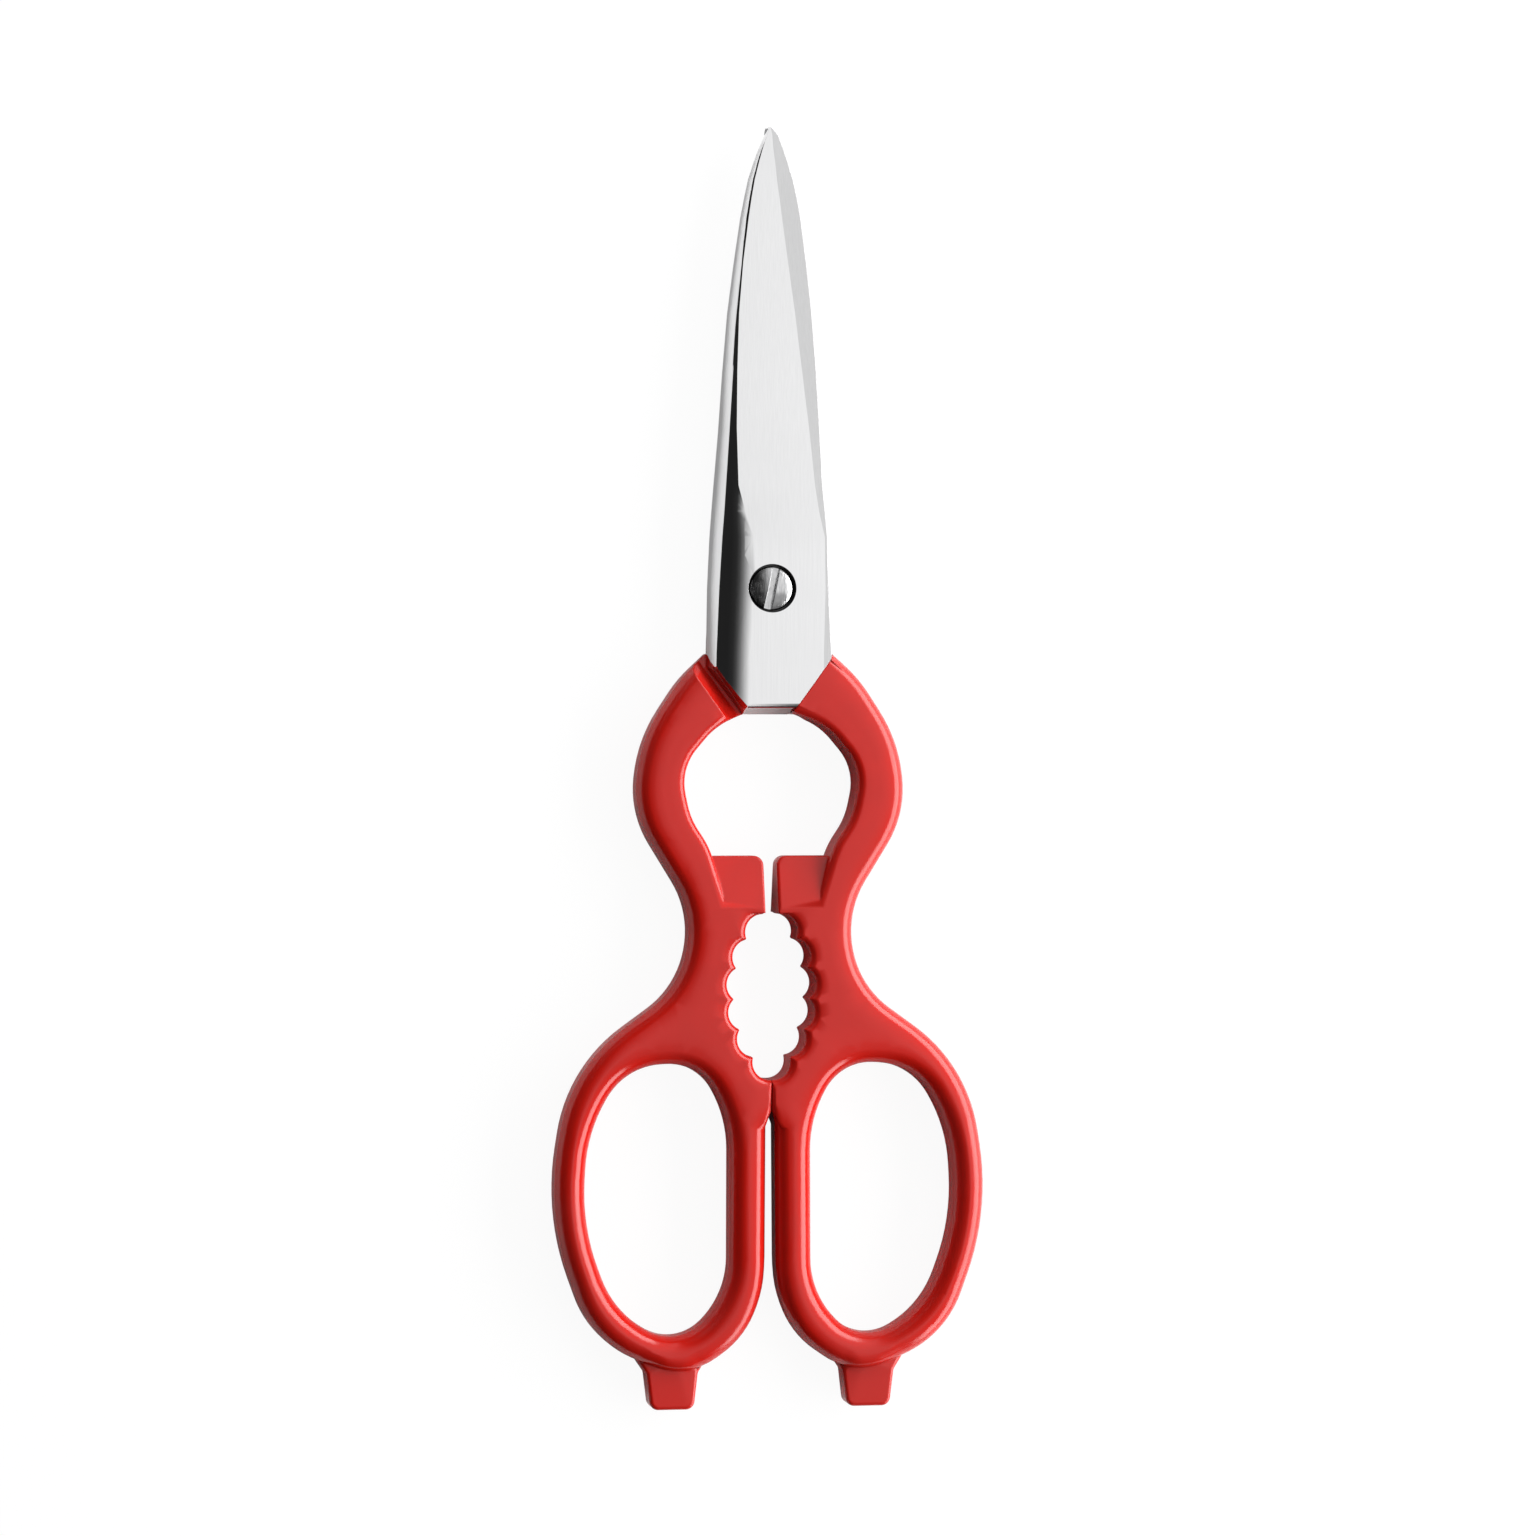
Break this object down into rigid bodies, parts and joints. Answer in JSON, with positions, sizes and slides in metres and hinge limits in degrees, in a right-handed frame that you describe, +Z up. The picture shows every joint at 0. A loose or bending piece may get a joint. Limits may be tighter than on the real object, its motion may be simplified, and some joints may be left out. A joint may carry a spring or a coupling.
{
  "type": "kitchen shears",
  "caption": "Forged steel kitchen shears with coated handles, finger bows, a cap opener between the handles, jar blocks, a toothed nutcracker jaw and end lugs.",
  "frame": {"origin": "pivot axis, on the plane that the closed shears lie on (the back of the rear half)", "axes": "+Y from the pivot to the blade tips, +Z up out of the flat side of the front half along the pivot axis, +X to the handle of the front half"},
  "size_m": [0.0678, 0.2001, 0.0084],
  "materials": {
    "polished_steel": "mirror-polished forged steel",
    "screw_steel": "satin steel",
    "red_coating": "glossy red coating"
  },
  "bodies": {
    "rear_half": {"rear_blade_forging": "polished_steel", "rear_handle_coating": "red_coating", "pivot_screw": "screw_steel"},
    "front_half": {"front_blade_forging": "polished_steel", "front_handle_coating": "red_coating"}
  },
  "joints": [
    {"name": "pivot", "type": "hinge", "parent": "rear_half", "child": "front_half", "pos_m": [0, 0, 0.0042], "axis": [0, 0, 1], "range_deg": [0, 100]}
  ]
}
